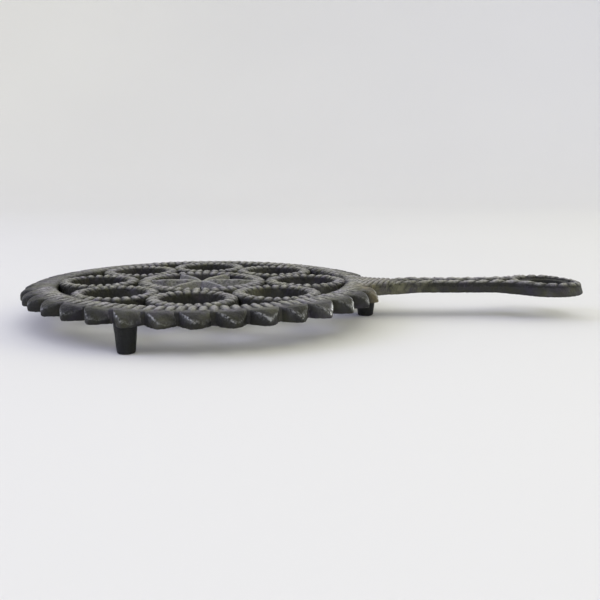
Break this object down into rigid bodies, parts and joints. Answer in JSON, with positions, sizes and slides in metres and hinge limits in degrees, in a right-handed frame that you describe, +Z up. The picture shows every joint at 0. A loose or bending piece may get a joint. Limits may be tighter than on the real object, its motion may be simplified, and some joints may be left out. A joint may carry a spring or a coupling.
{
  "type": "trivet",
  "caption": "Round openwork cast-iron trivet with rope-twist rings, a petal rosette, a toothed fringe, short pegs and a handle that ends in a hanging loop.",
  "frame": {"origin": "centre of the overall box in plan, at the level of the table that the pegs stand on", "axes": "+X along the handle from the disc to the hanging loop, +Z up, +Y across"},
  "size_m": [0.2853, 0.1838, 0.0193],
  "materials": {
    "cast_iron": "aged satin casting skin",
    "rope_iron": "worn satin on the crests, dark in the grooves",
    "worn_iron": "smooth and rubbed",
    "peg_iron": "dark satin"
  },
  "bodies": {
    "root": {"rope_rim": "rope_iron", "gate_pad": "worn_iron", "teeth_front_right": "cast_iron", "teeth_front_left": "cast_iron", "teeth_back_left": "cast_iron", "teeth_back_right": "cast_iron", "ring_1": "rope_iron", "ring_2": "rope_iron", "ring_3": "rope_iron", "ring_4": "rope_iron", "ring_5": "rope_iron", "ring_6": "rope_iron", "ring_7": "rope_iron", "ring_8": "rope_iron", "centre_ring": "rope_iron", "petal_1": "worn_iron", "petal_2": "worn_iron", "petal_3": "worn_iron", "petal_4": "worn_iron", "petal_5": "worn_iron", "petal_6": "worn_iron", "handle_bar": "cast_iron", "handle_rope_front": "rope_iron", "handle_rope_back": "rope_iron", "hanging_loop": "cast_iron", "loop_rope": "rope_iron", "peg_handle": "peg_iron", "peg_front": "peg_iron", "peg_back": "peg_iron"}
  },
  "joints": []
}
